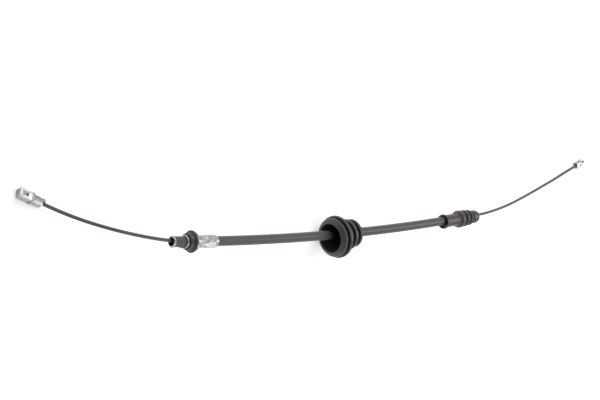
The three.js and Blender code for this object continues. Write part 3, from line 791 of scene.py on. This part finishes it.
class CABLE_OT_ferrule(bpy.types.Operator):
    """Spigot, band, snap ring, seal ring and crimped ferrule at the wheel end"""

    bl_idname = "cable.ferrule"
    bl_label = "Ferrule"

    def execute(self, context):
        new_piece("spigot", self.spigot(), "casing", "zinc", "spigot_tube")
        new_piece("spigot_sleeve", self.band(), "casing", "plastic", "spigot_band")
        spring = softened("spring_ring", "snap_ring", SPRING_RING_EDGE * MM)
        new_piece("spring_ring", spring, "casing", "zinc", "snap_ring")
        new_piece("rubber_seal", self.seal(), "casing", "rubber", "seal_ring")
        new_piece("crimped_ferrule", self.ferrule(), "casing", "zinc", "ferrule")
        return {"FINISHED"}

    def spigot(self):
        corners = (
            (0, SPIGOT_BORE_R + 0.1, 0.15), (0, SPIGOT_LIP_R - SPIGOT_ROLL, 0.3),
            (SPIGOT_ROLL, SPIGOT_LIP_R, 0.3), (SPIGOT_LIP, SPIGOT_LIP_R, 0.2),
            (SPIGOT_LIP, SPIGOT_R, 0.1), (SPIGOT_LENGTH, SPIGOT_R, 0.1),
            (SPIGOT_LENGTH, SPIGOT_BORE_R, 0.1), (SPIGOT_ROLL, SPIGOT_BORE_R, 0.2),
        )
        return turned("spigot", corners, on_casing(SPIGOT_AT))

    def band(self):
        corners = (
            (BAND_FROM, BAND_BORE_R, 0), (BAND_FROM, BAND_R, 0.15),
            (BAND_TO, BAND_R, 0.15), (BAND_TO, BAND_BORE_R, 0),
        )
        return turned("spigot_sleeve", corners, on_casing(SPIGOT_AT + SPIGOT_LIP * MM))

    def seal(self):
        """A stepped ring with a rounded disc at its rear"""
        corners = (
            (0, SEAL_BORE_R, 0), (0, SEAL_STEP_R - 0.15, 0.6), (SEAL_STEP_LENGTH, SEAL_STEP_R, 0.6),
            (SEAL_STEP_LENGTH + 0.6, SEAL_DISC_R - 0.4, 0.3), (SEAL_STEP_LENGTH + 1.1, SEAL_DISC_R, 0.4),
            (SEAL_LENGTH - 0.3, SEAL_DISC_R, 0.4), (SEAL_LENGTH, SEAL_DISC_R - 0.3, 0.2),
            (SEAL_LENGTH, SEAL_BORE_R, 0),
        )
        return turned("rubber_seal", corners, on_casing(SEAL_AT))

    def ferrule(self):
        """Flange, body, hexagonal crimp and neck, over the spigot's tail and the casing's end"""

        def hexagonal(x, r, angle):
            if not BODY_END * MM < x < CRIMP_END * MM or r < 5.4 * MM:
                return r
            flat = 2 * math.pi / CRIMP_FLATS
            turn = (angle + flat / 2) % flat - flat / 2
            return min(r, CRIMP_APOTHEM * MM / math.cos(turn))

        flats = [(BODY_END + 0.9 + 0.85 * i, CRIMP_R, 0) for i in range(10)]
        corners = (
            (0, CABLE_PASS_R, 0.1), (0, FLANGE_R, 0.35), (FLANGE_LENGTH, FLANGE_R, 0.35),
            (FLANGE_LENGTH, BODY_R, 0.4), (BODY_END, BODY_R, 0.4), (BODY_END + 0.7, CRIMP_R, 0.2), *flats,
            (CRIMP_END - 0.7, CRIMP_R, 0.3), (CRIMP_END, NECK_R, 0.3), (NECK_END, NECK_R, 0.5),
            (NECK_END, CASING_SEAT_R, 0.15), (CASING_SEAT_AT, CASING_SEAT_R, 0), (CASING_SEAT_AT, CABLE_PASS_R, 0),
        )
        return turned("crimped_ferrule", corners, on_casing(FLANGE_AT), shape=hexagonal, segments=180)


class CABLE_OT_boot(bpy.types.Operator):
    """Rubber boot with its wide mouth, lip, flange and ridges"""

    bl_idname = "cable.boot"
    bl_label = "Boot"

    def execute(self, context):
        ridge_top, tail_top = RIDGE_FROM + RIDGE_TILT, TAIL_RIDGE_FROM + RIDGE_TILT
        outside = (
            (0, MOUTH_R, 0.6), (2.2, LIP_R - 1.2, 3.0), (3.6, LIP_R, 0.7), (LIP_END, LIP_R, 0.5),
            (LIP_END, LIP_GROOVE_R, 0.3), (FLANGE_FROM, LIP_GROOVE_R, 0.3),
            (FLANGE_FROM, BOOT_FLANGE_R, 0.8), (FLANGE_TO, BOOT_FLANGE_R, 0.8),
            (FLANGE_TO, DRUM_R, 0.5), (DRUM_END, DRUM_R, 0.8),
            (DRUM_END + 1.6, RIDGE_GROOVE_R, 0.8), (RIDGE_FROM, RIDGE_GROOVE_R, 0.3),
            (ridge_top, RIDGE_R, 0.6), (RIDGE_TO, RIDGE_R, 0.8),
            (RIDGE_TO + 1.6, TAIL_GROOVE_R, 0.8), (TAIL_RIDGE_FROM, TAIL_GROOVE_R, 0.3),
            (tail_top, TAIL_RIDGE_R, 0.6), (BOOT_TAIL, TAIL_RIDGE_R, 1.4),
        )
        cavity = (
            (BOOT_TAIL, BOOT_HOLE_R, 0.2), (tail_top, BOOT_HOLE_R, 0.3), (tail_top, 8.4, 1.2),
            (RIDGE_TO, 9.6, 1.2), (18.0, 10.7, 2.0), (8.7, 12.4, 2.0), (1.4, MOUTH_R - 0.5, 0.5),
        )
        tail = on_casing(BOOT_MOUTH_AT + BOOT_TAIL * MM)
        swung = tail @ Matrix.Rotation(BOOT_YAW, 4, "Z") @ Matrix.Translation((-BOOT_TAIL * MM, 0, 0))
        shell = turned("boot_shell", outside + cavity, swung, segments=144)
        hub = turned("boot_hub", (
            (-HUB_OVERLAP, HUB_BORE_R, 0.2), (-HUB_OVERLAP, HUB_R, 0.2),
            (HUB_LENGTH, HUB_R, 0.6), (HUB_LENGTH, HUB_BORE_R, 0.2),
        ), tail)
        new_piece("rubber_boot", joined("rubber_boot", [shell, hub]), "casing", "rubber", "boot")
        return {"FINISHED"}


class CABLE_OT_end_sleeve(bpy.types.Operator):
    """Moulded sleeve with its open collar, clip windows, rings and nose"""

    bl_idname = "cable.end_sleeve"
    bl_label = "End Sleeve"

    def execute(self, context):
        steps = [(COLLAR_LENGTH + SLEEVE_BODY_STEP * i, SLEEVE_R, 0) for i in range(1, 50)]
        rings = []
        for start, full, end, r, fillet in SLEEVE_RINGS:
            foot = (start, SLEEVE_R, 0.3) if start == SLEEVE_RING_AT else (start, SLEEVE_GROOVE_R, 0.2)
            rings += [foot, (full, r, fillet), (end, r, 0.4), (end, SLEEVE_GROOVE_R, 0.2)]
        corners = (
            (0, COLLAR_BORE_R, 0.2), (0, COLLAR_R, 0.3), (COLLAR_LENGTH, COLLAR_R, 0.3),
            (COLLAR_LENGTH, SLEEVE_R, 0.2), *steps, *rings, (NOSE_AT, SLEEVE_GROOVE_R, 0.2),
            (NOSE_AT, NOSE_R, 0.4), (SLEEVE_LENGTH - NOSE_TAPER, NOSE_R, 1.0), (SLEEVE_LENGTH, NOSE_TIP_R, 0.9),
            (SLEEVE_LENGTH, SLEEVE_HOLE_R, 0.4), (SLEEVE_SEAT_END, SLEEVE_HOLE_R, 0),
            (SLEEVE_SEAT_END, SLEEVE_SEAT_R, 0), (COLLAR_DEPTH, SLEEVE_SEAT_R, 0),
            (COLLAR_DEPTH, COLLAR_BORE_R, 0.3),
        )

        def windows(x, r, angle):
            on_body = WINDOW_FROM * MM < x < WINDOW_TO * MM and abs(r - SLEEVE_R * MM) <= 0.1 * MM
            if on_body and abs(r * math.sin(angle)) < WINDOW_HALF_WIDTH * MM:
                return r - WINDOW_DEPTH * MM
            return r

        def hung(r):
            """The outside hangs below the casing's axis; the seat and the cable's hole stay on it"""
            return -SLEEVE_DROP if r > 5.0 * MM else 0.0

        mesh = turned("moulded_sleeve", corners, on_casing(SLEEVE_AT), windows, hung, 128)
        new_piece("moulded_sleeve", mesh, "casing", "plastic", "end_sleeve")
        return {"FINISHED"}


class CABLE_PT_panel(bpy.types.Panel):
    """Lists the cable's pieces and settings"""

    bl_idname = "CABLE_PT_panel"
    bl_label = "Parking Brake Cable"
    bl_space_type = "VIEW_3D"
    bl_region_type = "UI"
    bl_category = "Brake Cable"

    def draw(self, context):
        layout = self.layout
        for operator in OPERATORS:
            layout.operator(operator.bl_idname)
        finish = context.scene.cable_finish
        for slot in ("jacket", "coat", "rubber", "plastic", "zinc", "steel", "liner"):
            layout.prop(finish, slot)
        for size in ("wires", "lay", "edge"):
            layout.prop(context.scene.cable_sizes, size)


OPERATORS = (
    CABLE_OT_stage,
    CABLE_OT_inner_cable,
    CABLE_OT_casing,
    CABLE_OT_ferrule,
    CABLE_OT_boot,
    CABLE_OT_end_sleeve,
)
CLASSES = (CableFinish, CableSizes, *OPERATORS, CABLE_PT_panel)


def register():
    for item in CLASSES:
        bpy.utils.register_class(item)
    bpy.types.Scene.cable_finish = PointerProperty(type=CableFinish)
    bpy.types.Scene.cable_sizes = PointerProperty(type=CableSizes)


def unregister():
    del bpy.types.Scene.cable_sizes
    del bpy.types.Scene.cable_finish
    for item in reversed(CLASSES):
        bpy.utils.unregister_class(item)


def main():
    register()
    bpy.ops.cable.stage()
    bpy.ops.cable.inner_cable()
    bpy.ops.cable.casing()
    bpy.ops.cable.ferrule()
    bpy.ops.cable.boot()
    bpy.ops.cable.end_sleeve()


if __name__ == "__main__":
    main()
